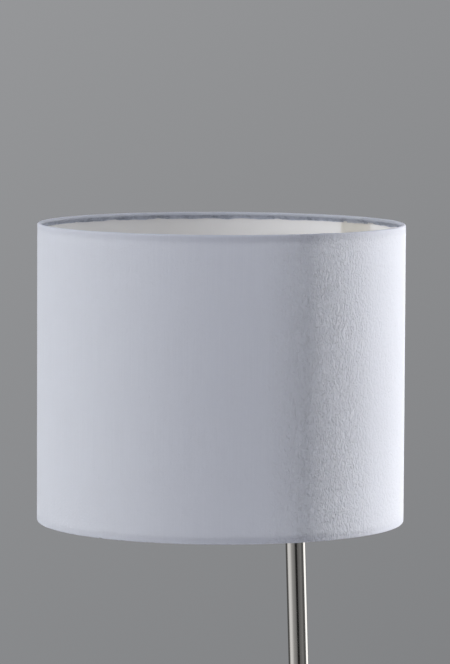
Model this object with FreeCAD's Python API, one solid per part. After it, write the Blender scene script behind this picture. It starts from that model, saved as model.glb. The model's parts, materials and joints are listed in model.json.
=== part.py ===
"""Tripod floor lamp: a drum shade carried off-centre by a bright metal stem.

The stem leans a little and runs on below the hub as the tripod's rear leg. Two front legs hinge on the hub
and fold back beside the rear leg. A short arm turns on top of the stem, and a knuckle at its end tilts the
lampholder and the shade. The frame: +Z up, the shade's axis is the Z axis, the floor is z = 0, and the stem
and the rear leg stand at +Y. All sizes are in millimetres.
"""

import FreeCAD
import Part
import math
import os

from FreeCAD import Matrix, Placement, Rotation, Vector

# ---------------------------------------------------------------- driving dimensions
# shade
shade_diameter = 450.0
shade_height = 366.0
shade_bottom_z = 1154.0
fabric_thickness = 0.6
liner_thickness = 0.5
glue_gap = 0.1
ring_wire_diameter = 3.5
spoke_wire_diameter = 4.0
spoke_count = 3
hem_width = 12.0
seam_lap_width = 55.0
seam_lap_end_deg = 87.4      # where the lining's lap ends, from +X round to the stem at 90
spoke_crank_run = 42.0
spoke_bend_radius = 12.0

# tubes
tube_diameter = 25.0
tube_wall = 1.5
arm_tube_diameter = 16.0
arm_tube_wall = 1.5

# stance
stem_lean_deg = 2.92
stem_offset_at_shade = 146.0
hub_height = 880.0
front_foot_x = 320.0
front_foot_y = -165.0

# hub and leg hinges
hub_wall = 5.5
hub_length = 70.0
hub_socket_depth = 25.0
hub_cable_bore = 18.0
set_screw_diameter = 5.0
hinge_reach = 16.0          # from the hub's surface out to the hinge bolt
ear_root_half_height = 18.0
hinge_bolt_diameter = 6.0
tongue_thickness = 10.0
tongue_radius = 9.0
ear_thickness = 5.0
hinge_washer_thickness = 1.0
hinge_washer_diameter = 16.0
knuckle_collar_length = 6.0
knuckle_neck = 22.0
spigot_length = 22.0
heel_height = 8.0
stop_gap = 0.4

# feet
foot_wall = 3.5
foot_height = 38.0
foot_sole = 3.0

# cord inlet
inlet_height = 60.0
inlet_bore = 6.6
inlet_neck = 10.8
inlet_flange = 16.0
inlet_reach = 7.5

# swivel on top of the stem
knuckle_above_shade_bottom = 6.0
swivel_step = 1.5           # how far the swivel stands proud of the stem
swivel_half = 8.8
journal_diameter = 14.0
journal_bore = 8.0
journal_thread = 12.0
swivel_flange_thickness = 4.0
swivel_washer_thickness = 1.0
swivel_shoulder_top = 6.8
swivel_nut_height = 4.0
swivel_nut_across = 17.0
swivel_nut_room = 1.6
swivel_cap_height = 10.0
swivel_limit_deg = 60.0
stop_screw_diameter = 4.0
stop_groove_depth = 2.0
arm_socket_start = 12.0
arm_boss_end = 27.0

# tilt knuckle
tilt_tongue_thickness = 8.0
tilt_radius = 10.0
tilt_bolt_diameter = 5.0
tilt_washer_thickness = 0.8
tilt_cheek = 4.0
tilt_collar_from_pivot = 17.5
tilt_plate_half_height = 6.0
fork_base_bottom = 13.0
fork_base_top = 21.0
nipple_diameter = 10.0
nipple_length = 7.0
wire_bore = 6.0
knob_diameter = 18.0
knob_length = 9.0
knob_flutes = 12

# lampholder, measured up from the tilt pivot
holder_diameter = 38.0
holder_thread_depth = 0.6
holder_thread_pitch = 2.5
holder_thread_low = 54.0
holder_thread_high = 84.0
holder_body_bottom = 44.0
holder_body_top = 86.0
holder_wall = 1.4
cap_wall = 1.4
fitter_level = 61.0
fitter_thickness = 1.5
fitter_bore_step = 4.0      # fitter bore over the lampholder's diameter
shade_ring_flange = 8.0     # flange width outside the fitter's bore
fitter_margin = 1.0         # fitter ring outside the shade rings
shade_ring_thickness = 5.0
terminal_inset = 8.6        # from the lampholder's bore in to each terminal's middle
insert_bottom = 46.0
insert_top = 54.0
screw_pitch = 3.63
screw_turns = 5
screw_low = 62.0
screw_crest_radius = 13.0
screw_depth = 0.7
shell_gap = 0.35
switch_level = 39.0
switch_knob_diameter = 14.0
switch_knob_length = 10.0
switch_shaft_diameter = 4.0
switch_bushing_diameter = 6.4
switch_inset = 2.7

# bulb
bulb_tip = 57.2
bulb_length = 108.0
bulb_diameter = 60.0
bulb_neck_diameter = 27.6
bulb_wall = 1.0
led_count = 8

# clearances
fit = 0.05          # between a tube and its socket or spigot, on the radius
flat_gap = 0.1      # between flat faces that slide or are clamped
run = 0.3           # between curved faces on parts that move apart

# ---------------------------------------------------------------- derived dimensions
lean = math.radians(stem_lean_deg)
shade_radius = shade_diameter / 2
tube_radius = tube_diameter / 2
tube_bore = tube_radius - tube_wall
spigot_radius = tube_bore - fit
pivot_z = shade_bottom_z + knuckle_above_shade_bottom
hub_radius = tube_radius + hub_wall
hinge_offset = hub_radius + hinge_reach
foot_radius = tube_radius + foot_wall
swivel_radius = tube_radius + swivel_step
fitter_bore = holder_diameter + fitter_bore_step
shade_ring_radius = fitter_bore / 2 + shade_ring_flange
fitter_radius = shade_ring_radius + fitter_margin
set_screw_radius = set_screw_diameter / 2
UP = Vector(0, 0, 1)


def stem_point(z):
    """The point on the stem's axis at a height above the floor."""
    return Vector(0, stem_offset_at_shade + (shade_bottom_z - z) * math.tan(lean), z)


# The arm leaves the stem square to it and meets the shade's axis at the tilt pivot.
arm_length = (stem_offset_at_shade + (shade_bottom_z - pivot_z) * math.tan(lean)) * math.cos(lean)
hub_centre = stem_point(hub_height)
swivel_along = (pivot_z + arm_length * math.sin(lean) - hub_height) / math.cos(lean)
floor_along = -hub_height / math.cos(lean)


# ---------------------------------------------------------------- helpers
def cylinder(radius, z0, z1):
    return Part.makeCylinder(radius, z1 - z0, Vector(0, 0, z0))


def tube(outer, inner, z0, z1):
    return cylinder(outer, z0, z1).cut(cylinder(inner, z0 - 1, z1 + 1))


def cylinder_along(axis, radius, start, end, centre=None):
    """A cylinder along an axis through centre, from start to end measured on that axis."""
    base = (centre or Vector()) + axis * start
    return Part.makeCylinder(radius, end - start, base, axis)


def revolved(points):
    """A solid turned about Z from an outline of (radius, z) points."""
    outline = Part.makePolygon([Vector(r, 0, z) for r, z in points + points[:1]])
    return Part.Face(outline).revolve(Vector(), UP, 360)


def ribbed(radius, depth, pitch, z0, z1, sign=1):
    """Points of a ribbed line at about one radius, from z0 to z1, like a thread seen in section."""
    count = int((z1 - z0) / pitch)
    points = [(radius, z0)]
    for i in range(count):
        points.append((radius + sign * depth, z0 + (i + 0.5) * pitch))
        points.append((radius, z0 + (i + 1) * pitch))
    return points


def hexagon(across, z0, z1):
    corner = across / math.sqrt(3)
    turn = [math.radians(60 * i) for i in range(7)]
    outline = Part.makePolygon([Vector(corner * math.cos(a), corner * math.sin(a), z0) for a in turn])
    return Part.Face(outline).extrude(Vector(0, 0, z1 - z0))


def frame_at(origin, x_axis, y_axis, z_axis):
    """The placement that carries a local frame to these axes at origin."""
    return Placement(Matrix(
        x_axis.x, y_axis.x, z_axis.x, origin.x,
        x_axis.y, y_axis.y, z_axis.y, origin.y,
        x_axis.z, y_axis.z, z_axis.z, origin.z,
        0, 0, 0, 1))


def placed(shape, placement):
    return shape.transformed(placement.toMatrix())


def on_stem(shape, along):
    """Carries a shape made about Z to the stem's axis, that far above the hub's centre."""
    frame = Placement(hub_centre, Rotation(Vector(1, 0, 0), stem_lean_deg))
    return placed(shape, frame.multiply(Placement(Vector(0, 0, along), Rotation())))


def on_head(shape):
    """Carries a shape made about Z to the tilt pivot, on the shade's axis."""
    return placed(shape, Placement(Vector(0, 0, pivot_z), Rotation()))


def mirrored(shape):
    return shape.mirror(Vector(), Vector(1, 0, 0))


def save(name, *shapes):
    solids = [solid for shape in shapes for solid in shape.Solids]
    for solid in solids:
        if not solid.isValid():
            raise ValueError(name + " has an invalid solid")
    body = solids[0] if len(solids) == 1 else Part.makeCompound(solids)
    body.exportStep("parts/" + name + ".step")


# ---------------------------------------------------------------- leg hinge frames
def right_leg_frames():
    """The hinge frame (x out from the hub, y along the bolt, z up), the leg's own frame, and its length."""
    foot = Vector(front_foot_x, front_foot_y, 0)
    out = Vector(foot.x - hub_centre.x, foot.y - hub_centre.y, 0).normalize()
    pivot = hub_centre + out * hinge_offset
    bolt = UP.cross(out)
    up_leg = (pivot - foot).normalize()
    across = bolt.cross(up_leg)
    return frame_at(pivot, out, bolt, UP), frame_at(pivot, across, bolt, up_leg), (pivot - foot).Length


hinge_frame, leg_frame, leg_length = right_leg_frames()
leg_lean = math.acos(leg_frame.Rotation.multVec(UP).z)
tongue_half = tongue_thickness / 2
washer_inner = tongue_half + flat_gap
washer_outer = washer_inner + hinge_washer_thickness
ear_inner = washer_outer + flat_gap
ear_outer = ear_inner + ear_thickness
bolt_radius = hinge_bolt_diameter / 2
AXIS_Y = Vector(0, 1, 0)
AXIS_X = Vector(1, 0, 0)


# ---------------------------------------------------------------- stand
def make_hub():
    """A turned hub with a socket for the rear leg below, one for the stem above, and two pairs of ears."""
    half = hub_length / 2
    body = cylinder(hub_radius, -half, half)
    rims = [e for e in body.Edges if len(e.Vertexes) == 1]
    body = body.makeChamfer(1.5, rims)
    hub = on_stem(body, 0)
    root = hinge_reach + 4.0
    high = ear_root_half_height
    outline = Part.makePolygon([Vector(-root, 0, -high), Vector(0, 0, -tongue_radius), Vector(0, 0, tongue_radius),
                                Vector(-root, 0, high), Vector(-root, 0, -high)])
    for side in (-1, 1):
        start = ear_inner if side > 0 else -ear_outer
        web = Part.Face(outline).extrude(AXIS_Y * ear_thickness)
        web.translate(AXIS_Y * start)
        ear = web.fuse(cylinder_along(AXIS_Y, tongue_radius, start, start + ear_thickness))
        ear = ear.cut(cylinder_along(AXIS_Y, bolt_radius + fit, start - 1, start + ear_thickness + 1))
        ear = placed(ear.removeSplitter(), hinge_frame)
        hub = hub.fuse(ear).fuse(mirrored(ear))
    socket = tube_radius + fit
    floor = half - hub_socket_depth
    bore = cylinder(hub_cable_bore / 2, -half - 1, half + 1)
    bore = bore.fuse(cylinder(socket, floor, half + 1)).fuse(cylinder(socket, -half - 1, -floor))
    hub = hub.cut(on_stem(bore, 0))
    for level in set_screw_levels():
        hole = cylinder_along(AXIS_Y, set_screw_radius + fit, tube_radius - 1, 2 * hub_radius)
        hub = hub.cut(on_stem(hole, level))
    return hub.removeSplitter()


def set_screw_levels():
    middle = hub_length / 2 - hub_socket_depth / 2
    return (-middle, middle)


def make_set_screws():
    """One socket set screw per tube, in the back of the hub."""
    screws = []
    for level in set_screw_levels():
        screw = cylinder_along(AXIS_Y, set_screw_radius, tube_radius + fit, hub_radius - 0.4)
        key = hexagon(2.5, 0, 3)
        key = placed(key, Placement(Vector(0, hub_radius - 2.4, 0), Rotation(AXIS_X, -90)))
        screws.append(on_stem(screw.cut(key), level))
    return screws


def rear_tube_ends():
    """How far along the stem's axis the rear leg's tube starts and ends."""
    low = floor_along + (foot_sole + tube_radius * math.sin(lean)) / math.cos(lean)
    return low, -(hub_length / 2 - hub_socket_depth)


def inlet_along():
    return floor_along + inlet_height / math.cos(lean)


def make_rear_leg():
    low, high = rear_tube_ends()
    leg = on_stem(tube(tube_radius, tube_bore, low, high), 0)
    hole = cylinder_along(AXIS_Y, inlet_neck / 2 + fit, tube_bore - 4, tube_radius + 4)
    return leg.cut(on_stem(hole, inlet_along()))


def make_cord_inlet():
    """A rubber grommet in the back of the rear leg, where the flex would go in."""
    flange = cylinder_along(AXIS_Y, inlet_flange / 2, tube_radius - 4, tube_radius + 3)
    flange = flange.cut(cylinder(tube_radius + fit, -20, 20))
    neck = cylinder_along(AXIS_Y, inlet_neck / 2, tube_bore - 2.5, tube_radius + inlet_reach)
    grommet = flange.fuse(neck)
    grommet = grommet.cut(cylinder_along(AXIS_Y, inlet_bore / 2, 0, tube_radius + 20))
    return on_stem(grommet.removeSplitter(), inlet_along())


def make_stem():
    low = hub_length / 2 - hub_socket_depth
    high = swivel_along - swivel_half - 2 * flat_gap - swivel_washer_thickness - swivel_flange_thickness
    return on_stem(tube(tube_radius, tube_bore, low, high), 0)


def foot_along(axis_lean, length):
    """A rubber cap about Z whose tube ends above z = 0 once it leans; the floor cut is made later."""
    end = -length + (foot_sole + tube_radius * math.sin(axis_lean)) / math.cos(axis_lean)
    outer = cylinder(foot_radius, -length - foot_radius, -length + foot_height)
    rim = [e for e in outer.Edges if len(e.Vertexes) == 1 and e.BoundBox.ZMin > -length]
    outer = outer.makeFillet(2.0, rim)
    return outer.cut(cylinder(tube_radius + fit, end, 0)), end


def floor_cut(shape):
    ground = Part.makeBox(2000, 2000, 200, Vector(-1000, -1000, -200))
    return shape.cut(ground)


def make_rear_foot():
    foot, _ = foot_along(lean, -floor_along)
    return floor_cut(on_stem(foot, 0))


# ---------------------------------------------------------------- front legs
def make_leg_tube():
    _, end = foot_along(leg_lean, leg_length)
    top = -knuckle_neck - knuckle_collar_length
    return placed(tube(tube_radius, tube_bore, end, top), leg_frame)


def make_leg_knuckle():
    """A turned plug in the leg's top with a flat tongue for the bolt and a heel that stops the leg."""
    collar_low = -knuckle_neck - knuckle_collar_length
    plug = cylinder(spigot_radius, collar_low - spigot_length, collar_low)
    plug = plug.fuse(cylinder(tube_radius, collar_low, -knuckle_neck))
    plug = plug.fuse(Part.makeCone(tube_radius, 7, knuckle_neck - 13, Vector(0, 0, -knuckle_neck)))
    plate = Part.makeBox(16, tongue_thickness, 16, Vector(-8, -tongue_half, -16))
    tongue = plate.fuse(cylinder_along(AXIS_Y, tongue_radius, -tongue_half, tongue_half))
    knuckle = placed(plug.fuse(tongue), leg_frame)
    reach = hinge_reach - stop_gap - heel_height * math.tan(lean)
    heel = Part.makeBox(reach, tongue_thickness, heel_height + 1, Vector(-reach, -tongue_half, -1))
    knuckle = knuckle.fuse(placed(heel, hinge_frame))
    hole = cylinder_along(AXIS_Y, bolt_radius + fit, -tongue_half - 1, tongue_half + 1)
    return knuckle.cut(placed(hole, hinge_frame)).removeSplitter()


def make_leg_foot():
    foot, _ = foot_along(leg_lean, leg_length)
    return floor_cut(placed(foot, leg_frame))


def make_hinge_bolt():
    shank = cylinder_along(AXIS_Y, bolt_radius, -ear_outer - 6, ear_outer)
    head = cylinder_along(AXIS_Y, 5.5, ear_outer, ear_outer + 3.5)
    rim = [e for e in head.Edges if len(e.Vertexes) == 1 and e.BoundBox.YMin > ear_outer + 3]
    head = head.makeFillet(1.8, rim)
    key = placed(hexagon(4, 0, 3), Placement(Vector(0, ear_outer + 1.5, 0), Rotation(AXIS_X, -90)))
    return placed(shank.fuse(head).cut(key).removeSplitter(), hinge_frame)


def make_hinge_nut():
    """A domed cap nut on the inner side of the ears."""
    nut = hexagon(10, 0, 5).fuse(Part.makeSphere(4.4, Vector(0, 0, 4.2)).common(cylinder(6, 4, 12)))
    nut = nut.cut(cylinder(bolt_radius + fit, -1, 6.3))
    turn = Placement(Vector(0, -ear_outer, 0), Rotation(AXIS_X, 90))
    return placed(placed(nut.removeSplitter(), turn), hinge_frame)


def make_hinge_washers():
    ring = []
    for start in (washer_inner, -washer_outer):
        washer = cylinder_along(AXIS_Y, hinge_washer_diameter / 2, start, start + hinge_washer_thickness)
        washer = washer.cut(cylinder_along(AXIS_Y, bolt_radius + fit, start - 1, start + 3))
        ring.append(placed(washer, hinge_frame))
    return ring


# ---------------------------------------------------------------- swivel and arm
journal_radius = journal_diameter / 2
swivel_low = -swivel_half - 2 * flat_gap - swivel_washer_thickness
groove_half_height = stop_screw_diameter / 2 + 0.2
counterbore_radius = swivel_nut_across / math.sqrt(3) + swivel_nut_room


def make_swivel_journal():
    """The plug in the stem's top: a flange, a hollow journal and a thread. A groove limits the turn."""
    flange_low = swivel_low - swivel_flange_thickness
    plug = cylinder(spigot_radius, flange_low - spigot_length, flange_low)
    plug = plug.fuse(cylinder(tube_radius, flange_low, swivel_low))
    plug = plug.fuse(cylinder(journal_radius, swivel_low, swivel_shoulder_top))
    plug = plug.fuse(cylinder(journal_thread / 2, swivel_shoulder_top, swivel_shoulder_top + 7))
    plug = plug.cut(cylinder(journal_bore / 2, -100, 100))
    sweep = swivel_limit_deg + math.degrees((stop_screw_diameter / 2 + 0.4) / (journal_radius - stop_groove_depth))
    ring = tube(journal_radius + 1, journal_radius - stop_groove_depth, -groove_half_height, groove_half_height)
    wedge = Part.makeCylinder(journal_radius + 3, 2 * groove_half_height, Vector(0, 0, -groove_half_height), UP,
                              2 * sweep)
    wedge.rotate(Vector(), UP, 90 - sweep)
    return on_stem(plug.cut(ring.common(wedge)).removeSplitter(), swivel_along)


def make_swivel_washer():
    ring = tube(tube_radius - 0.5, journal_radius + fit, swivel_low + flat_gap, -swivel_half - flat_gap)
    return on_stem(ring, swivel_along)


def nut_levels():
    low = swivel_shoulder_top + 2 * flat_gap + swivel_washer_thickness
    return low, low + swivel_nut_height


def make_wave_washer():
    low = swivel_shoulder_top + flat_gap
    ring = tube(swivel_nut_across / 2, journal_thread / 2 + run, low, low + swivel_washer_thickness)
    return on_stem(ring, swivel_along)


def make_swivel_nut():
    low, high = nut_levels()
    nut = hexagon(swivel_nut_across, low, high).cut(cylinder(journal_thread / 2 + fit, low - 1, high + 1))
    return on_stem(nut, swivel_along)


def make_swivel_barrel():
    """The barrel that turns on the journal, with a boss for the arm and a hole for the stop screw."""
    barrel = cylinder(swivel_radius, -swivel_half, swivel_half)
    boss = cylinder_along(AXIS_Y, arm_tube_diameter / 2 + 2.0, -arm_boss_end, 0)
    boss_rim = [e for e in boss.Edges if len(e.Vertexes) == 1 and e.BoundBox.YMax < -arm_boss_end + 0.1]
    boss = boss.makeChamfer(0.8, boss_rim)
    boss = boss.common(cylinder_along(UP, 60, -swivel_half, swivel_half))
    barrel = barrel.fuse(boss)
    barrel = barrel.cut(cylinder(journal_radius + fit, -50, 50))
    barrel = barrel.cut(cylinder(counterbore_radius, swivel_shoulder_top, 50))
    barrel = barrel.cut(cylinder_along(AXIS_Y, arm_tube_diameter / 2 + fit, -arm_boss_end - 1, -arm_socket_start))
    barrel = barrel.cut(cylinder_along(AXIS_Y, stop_screw_diameter / 2 + fit, journal_radius - 1, 50))
    return on_stem(barrel.removeSplitter(), swivel_along)


def make_stop_screw():
    """A set screw in the back of the barrel whose tip runs in the journal's groove."""
    tip = journal_radius - stop_groove_depth + run
    screw = cylinder_along(AXIS_Y, stop_screw_diameter / 2, tip, swivel_radius - 0.3)
    key = placed(hexagon(2, 0, 3), Placement(Vector(0, swivel_radius - 2.3, 0), Rotation(AXIS_X, -90)))
    return on_stem(screw.cut(key), swivel_along)


def make_swivel_cap():
    """A domed cover with a lip that fits in the barrel's top."""
    radius = swivel_radius
    lip = counterbore_radius - fit
    top = swivel_half + swivel_cap_height
    inside = lip - 1.0
    half = math.radians(45)
    shoulder = 5.0
    outline = [Vector(inside, 0, swivel_half - 1.5), Vector(lip, 0, swivel_half - 1.5), Vector(lip, 0, swivel_half),
               Vector(radius, 0, swivel_half), Vector(radius, 0, top - shoulder)]
    corner = Vector(radius - shoulder, 0, top - shoulder)
    middle = corner + Vector(math.cos(half), 0, math.sin(half)) * shoulder
    crown = Part.Arc(outline[-1], middle, corner + Vector(0, 0, shoulder)).toShape()
    lower = Part.makePolygon(outline)
    closing = Part.makePolygon([corner + Vector(0, 0, shoulder), Vector(0, 0, top), Vector(0, 0, top - 1.6),
                                Vector(inside - 3, 0, top - 1.6), Vector(inside, 0, top - 4.6), outline[0]])
    outline_wire = Part.Wire(Part.__sortEdges__(lower.Edges + [crown] + closing.Edges))
    return on_stem(Part.Face(outline_wire).revolve(Vector(), UP, 360), swivel_along)


def make_arm_tube():
    outer = arm_tube_diameter / 2
    end = arm_length - tilt_collar_from_pivot - 3.0
    pipe = cylinder_along(AXIS_Y, outer, -end, -arm_socket_start)
    pipe = pipe.cut(cylinder_along(AXIS_Y, outer - arm_tube_wall, -end - 1, -arm_socket_start + 1))
    return on_stem(pipe, swivel_along)


def make_arm_tongue():
    """The plug in the arm's end, with the flat tongue of the tilt knuckle. The pivot is its origin."""
    collar = tilt_collar_from_pivot
    spigot = cylinder_along(AXIS_Y, arm_tube_diameter / 2 - arm_tube_wall - fit, collar + 3, collar + 17)
    ring = cylinder_along(AXIS_Y, arm_tube_diameter / 2, collar, collar + 3)
    half = tilt_tongue_thickness / 2
    plate = Part.makeBox(2 * half, collar + 1, 2 * tilt_plate_half_height, Vector(-half, 0, -tilt_plate_half_height))
    eye = cylinder_along(AXIS_X, tilt_radius, -half, half)
    tongue = spigot.fuse(ring).fuse(plate).fuse(eye)
    tongue = tongue.cut(cylinder_along(AXIS_X, tilt_bolt_radius + fit, -half - 1, half + 1))
    turn = Placement(Vector(0, 0, pivot_z), Rotation(AXIS_X, stem_lean_deg))
    return placed(tongue.removeSplitter(), turn)


# ---------------------------------------------------------------- head
tilt_bolt_radius = tilt_bolt_diameter / 2
cheek_inner = tilt_tongue_thickness / 2 + 2 * flat_gap + tilt_washer_thickness
cheek_outer = cheek_inner + tilt_cheek
nipple_top = fork_base_top + nipple_length


def make_head_fork():
    """The fork of the tilt knuckle, with a threaded nipple on top for the lampholder."""
    base = cylinder(tilt_radius, fork_base_bottom, fork_base_top)
    fork = base.fuse(cylinder(nipple_diameter / 2, fork_base_top, nipple_top))
    for start in (cheek_inner, -cheek_outer):
        web = Part.makeBox(tilt_cheek, 2 * tilt_radius, fork_base_bottom + 2, Vector(start, -tilt_radius, 0))
        cheek = web.fuse(cylinder_along(AXIS_X, tilt_radius, start, start + tilt_cheek))
        trim = cylinder(tilt_radius, -1, fork_base_bottom + 3).fuse(
            cylinder_along(AXIS_X, tilt_radius, start, start + tilt_cheek))
        fork = fork.fuse(cheek.common(trim))
    fork = fork.cut(cylinder_along(AXIS_X, tilt_bolt_radius + fit, -20, 20))
    fork = fork.cut(cylinder(wire_bore / 2, fork_base_bottom - 1, nipple_top + 1))
    return on_head(fork.removeSplitter())


def make_tilt_washers():
    rings = []
    for start in (tilt_tongue_thickness / 2 + flat_gap, -cheek_inner + flat_gap):
        ring = cylinder_along(AXIS_X, tilt_radius - 1, start, start + tilt_washer_thickness)
        rings.append(on_head(ring.cut(cylinder_along(AXIS_X, tilt_bolt_radius + fit, start - 1, start + 3))))
    return rings


def make_tilt_bolt():
    shank = cylinder_along(AXIS_X, tilt_bolt_radius, -cheek_outer, cheek_outer + knob_length - 1)
    head = cylinder_along(AXIS_X, 5.0, -cheek_outer - 3, -cheek_outer)
    rim = [e for e in head.Edges if len(e.Vertexes) == 1 and e.BoundBox.XMax < -cheek_outer - 2.5]
    return on_head(shank.fuse(head.makeFillet(1.4, rim)).removeSplitter())


def make_tilt_knob():
    """A fluted hand nut that clamps the tilt knuckle."""
    start = cheek_outer + flat_gap
    knob = cylinder_along(AXIS_X, knob_diameter / 2, start, start + knob_length)
    rims = [e for e in knob.Edges if len(e.Vertexes) == 1]
    knob = knob.makeChamfer(0.8, rims)
    for i in range(knob_flutes):
        turn = 2 * math.pi * i / knob_flutes
        centre = Vector(0, math.cos(turn), math.sin(turn)) * (knob_diameter / 2 + 0.7)
        knob = knob.cut(cylinder_along(AXIS_X, 1.5, start - 1, start + knob_length + 1, centre))
    return on_head(knob.cut(cylinder_along(AXIS_X, tilt_bolt_radius + fit, start - 1, start + knob_length - 0.9)))


# ---------------------------------------------------------------- lampholder
holder_radius = holder_diameter / 2
holder_bore = holder_radius - holder_wall
terminal_x = holder_bore - terminal_inset
cap_inner = holder_radius + flat_gap
cap_outer = cap_inner + cap_wall


def make_holder_cap():
    """The domed lower half of the lampholder, held on the nipple by a nut inside."""
    low = fork_base_top + flat_gap
    hole = nipple_diameter / 2 + fit
    outline = [(hole, low), (9, low), (cap_outer - 1.5, 33), (cap_outer, 36), (cap_outer, 46),
               (cap_inner, 46), (cap_inner, 36.5), (cap_inner - 1.4, 34.2), (8.6, low + 2.2), (hole, low + 2.2)]
    cap = revolved(outline)
    hole = cylinder_along(AXIS_Y, switch_bushing_diameter / 2 + fit, -cap_outer - 3, -10, Vector(0, 0, switch_level))
    return on_head(cap.cut(hole))


def make_nipple_nut():
    low = fork_base_top + flat_gap + 2.2 + flat_gap
    return on_head(hexagon(14, low, low + 3).cut(cylinder(nipple_diameter / 2 + fit, low - 1, low + 4)))


def make_holder_body():
    """The upper half of the lampholder: an outer thread for the shade rings and an inner lip at the mouth."""
    outer = ribbed(holder_radius, holder_thread_depth, holder_thread_pitch, holder_thread_low, holder_thread_high)
    outline = [(holder_radius, holder_body_bottom)] + outer + [
        (holder_radius - 0.6, holder_body_top), (15.0, holder_body_top), (15.0, 83), (holder_bore, 83),
        (holder_bore, holder_body_bottom)]
    return on_head(revolved(outline))


def make_holder_insert():
    """The insulating block that holds the contacts and the screw shell."""
    block = cylinder(holder_bore - fit, insert_bottom, insert_top)
    block = block.cut(cylinder(1.6, insert_bottom - 1, insert_top + 1))
    for side in (-1, 1):
        block = block.cut(cylinder_along(UP, 1.1, insert_bottom - 1, insert_top + 1, Vector(terminal_x * side, 4, 0)))
    return on_head(block)


def make_screw_shell():
    """The thin threaded shell that takes the bulb's cap."""
    inner = ribbed(screw_crest_radius - screw_depth + shell_gap, screw_depth, screw_pitch, screw_low, screw_high)
    outer_radius = screw_crest_radius + shell_gap + 0.5
    outline = [(inner[0][0], insert_top + 0.1)] + inner + [(outer_radius, screw_high), (outer_radius, insert_top + 0.1)]
    return on_head(revolved(outline))


def make_contacts():
    """A centre spring contact and a side contact, each a bent brass strip."""
    strip = Part.makeBox(4, 9, 0.5, Vector(-2, -7, insert_top + 0.1))
    lift = Part.makeBox(4, 0.5, 2.0, Vector(-2, 1.5, insert_top + 0.1))
    pad = Part.makeBox(4, 4, 0.5, Vector(-2, -2, insert_top + 2.1))
    centre = strip.fuse(lift).fuse(pad).removeSplitter()
    foot = Part.makeBox(2.5, 3.0, 0.5, Vector(8.0, -6.5, insert_top + 0.1))
    tab = Part.makeBox(0.5, 3.0, 4.0, Vector(10.0, -6.5, insert_top + 0.1))
    return on_head(centre), on_head(foot.fuse(tab).removeSplitter())


def make_terminals():
    """Two terminal blocks under the insert, each with its clamping screw."""
    blocks, screws = [], []
    for side in (-1, 1):
        block = Part.makeBox(5, 9, 8, Vector(side * terminal_x - 2.5, 0, insert_bottom - 8.1))
        screw = cylinder_along(AXIS_Y, 1.5, 5.5, 11.0, Vector(side * terminal_x, 0, insert_bottom - 4))
        wire = cylinder_along(UP, 1.2, insert_bottom - 9, insert_bottom - 2, Vector(side * terminal_x, 4, 0))
        blocks.append(on_head(block.cut(screw.copy()).cut(wire)))
        slot = Part.makeBox(4, 0.8, 0.7, Vector(side * terminal_x - 2, 10.3, insert_bottom - 4.35))
        screws.append(on_head(cylinder_along(AXIS_Y, 1.5 - fit, 5.6, 11.0,
                                             Vector(side * terminal_x, 0, insert_bottom - 4)).cut(slot)))
    return blocks, screws


def make_shade_ring(low, lip_up):
    """A threaded ring that clamps the shade's fitter: a flange with a short knurled sleeve."""
    hole = holder_radius + holder_thread_depth + flat_gap
    flange = 2.0
    if lip_up:
        outline = [(hole, low), (shade_ring_radius, low), (shade_ring_radius, low + flange),
                   (hole + 3, low + flange + 0.8), (hole + 3, low + shade_ring_thickness),
                   (hole, low + shade_ring_thickness)]
    else:
        top = low + shade_ring_thickness
        outline = [(hole, low), (hole + 3, low), (hole + 3, top - flange - 0.8),
                   (shade_ring_radius, top - flange), (shade_ring_radius, top), (hole, top)]
    ring = revolved(outline)
    grips = 24
    for i in range(grips):
        turn = 2 * math.pi * i / grips
        centre = Vector(math.cos(turn), math.sin(turn), 0) * (shade_ring_radius + 0.6)
        ring = ring.cut(cylinder_along(UP, 1.4, low - 1, low + shade_ring_thickness + 1, centre))
    return on_head(ring)


# ---------------------------------------------------------------- switch
switch_back = cap_inner - switch_inset


def make_switch_block():
    block = Part.makeBox(12, 8, 8, Vector(-6, -switch_back, switch_level - 4))
    return on_head(block.cut(cylinder_along(AXIS_Y, switch_shaft_diameter / 2 + flat_gap, -switch_back - 1,
                                            -switch_back + 3.4, Vector(0, 0, switch_level))))


def make_switch_bushing():
    centre = Vector(0, 0, switch_level)
    face = cap_outer + flat_gap
    sleeve = cylinder_along(AXIS_Y, switch_bushing_diameter / 2, -face - 2.4, -switch_back - flat_gap, centre)
    nut = placed(hexagon(9, 0, 1.8), Placement(Vector(0, -face, switch_level), Rotation(AXIS_X, 90)))
    bushing = sleeve.fuse(nut)
    return on_head(bushing.cut(cylinder_along(AXIS_Y, switch_shaft_diameter / 2 + fit, -40, 0, centre)))


def make_switch_knob():
    centre = Vector(0, 0, switch_level)
    face = cap_outer + flat_gap + 2.4 + flat_gap
    shaft = cylinder_along(AXIS_Y, switch_shaft_diameter / 2, -face - 1, -switch_back + 3.2, centre)
    knob = cylinder_along(AXIS_Y, switch_knob_diameter / 2, -face - switch_knob_length, -face, centre)
    rim = [e for e in knob.Edges if len(e.Vertexes) == 1 and e.BoundBox.YMax < -face - switch_knob_length + 0.5]
    knob = knob.makeFillet(1.2, rim)
    for i in range(16):
        turn = 2 * math.pi * i / 16
        groove = centre + Vector(math.cos(turn), 0, math.sin(turn)) * (switch_knob_diameter / 2 + 0.4)
        knob = knob.cut(cylinder_along(AXIS_Y, 0.9, -face - switch_knob_length - 1, -face - 1.5, groove))
    pointer = Part.makeBox(1.2, 1.0, 5.0, Vector(-0.6, -face - switch_knob_length - 0.5, switch_level + 1))
    return on_head(knob.cut(pointer).fuse(shaft).removeSplitter())


# ---------------------------------------------------------------- bulb
screw_high = screw_low + screw_turns * screw_pitch
cap_low = bulb_tip + 3.0
housing_low = screw_high + 1.2
globe_seam = bulb_tip + 62.0
globe_radius = bulb_diameter / 2
bulb_top = bulb_tip + bulb_length
housing_bore = bulb_neck_diameter / 2 - bulb_wall + 0.2


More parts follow.
